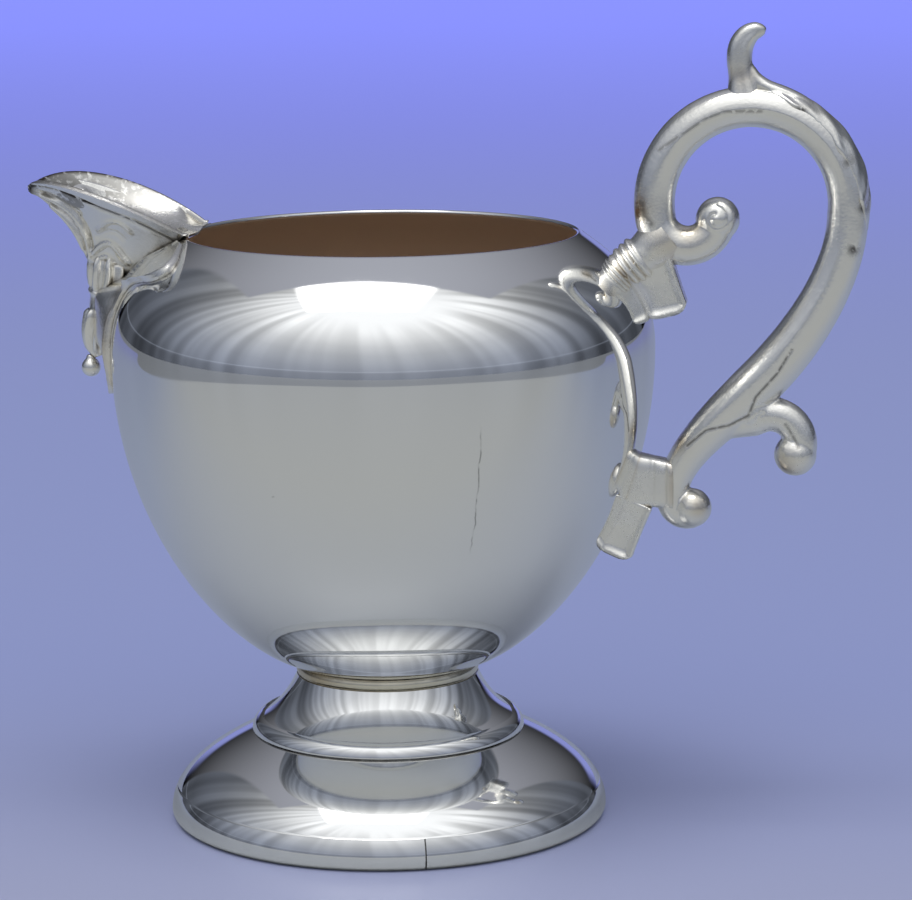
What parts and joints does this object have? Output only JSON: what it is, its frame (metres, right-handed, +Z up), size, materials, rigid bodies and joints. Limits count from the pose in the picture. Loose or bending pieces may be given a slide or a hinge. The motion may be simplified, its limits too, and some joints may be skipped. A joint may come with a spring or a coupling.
{
  "type": "cream jug",
  "caption": "Footed cream jug in silver plate: ovoid spun bowl on a trumpet foot, cast leafed pouring lip and cast scroll handle with thumb sprig.",
  "frame": {"origin": "middle of the jug's length and width, on the surface that it stands on", "axes": "+X towards the handle, -X towards the pouring lip, +Z up"},
  "size_m": [0.1468, 0.095, 0.1404],
  "materials": {
    "polished_plate": "mirror-polished silver plate, gilt-brown inside the bowl",
    "cast_plate": "cast silver plate, softly worn, with dark tarnish in the hollows",
    "soldered_band": "yellowed silver plate over solder"
  },
  "bodies": {
    "root": {"foot_rim_band": "polished_plate", "foot_dome": "polished_plate", "foot_stem": "polished_plate", "neck_collar": "soldered_band", "body_shell": "polished_plate", "spout_lip": "cast_plate", "spout_apron": "cast_plate", "spout_husk": "cast_plate", "spout_bead": "cast_plate", "handle_scroll": "cast_plate", "handle_branch": "cast_plate", "thumb_sprig": "cast_plate", "upper_ferrule": "cast_plate", "upper_tongue": "cast_plate", "lower_socket": "cast_plate", "lower_tongue": "cast_plate"}
  },
  "joints": []
}
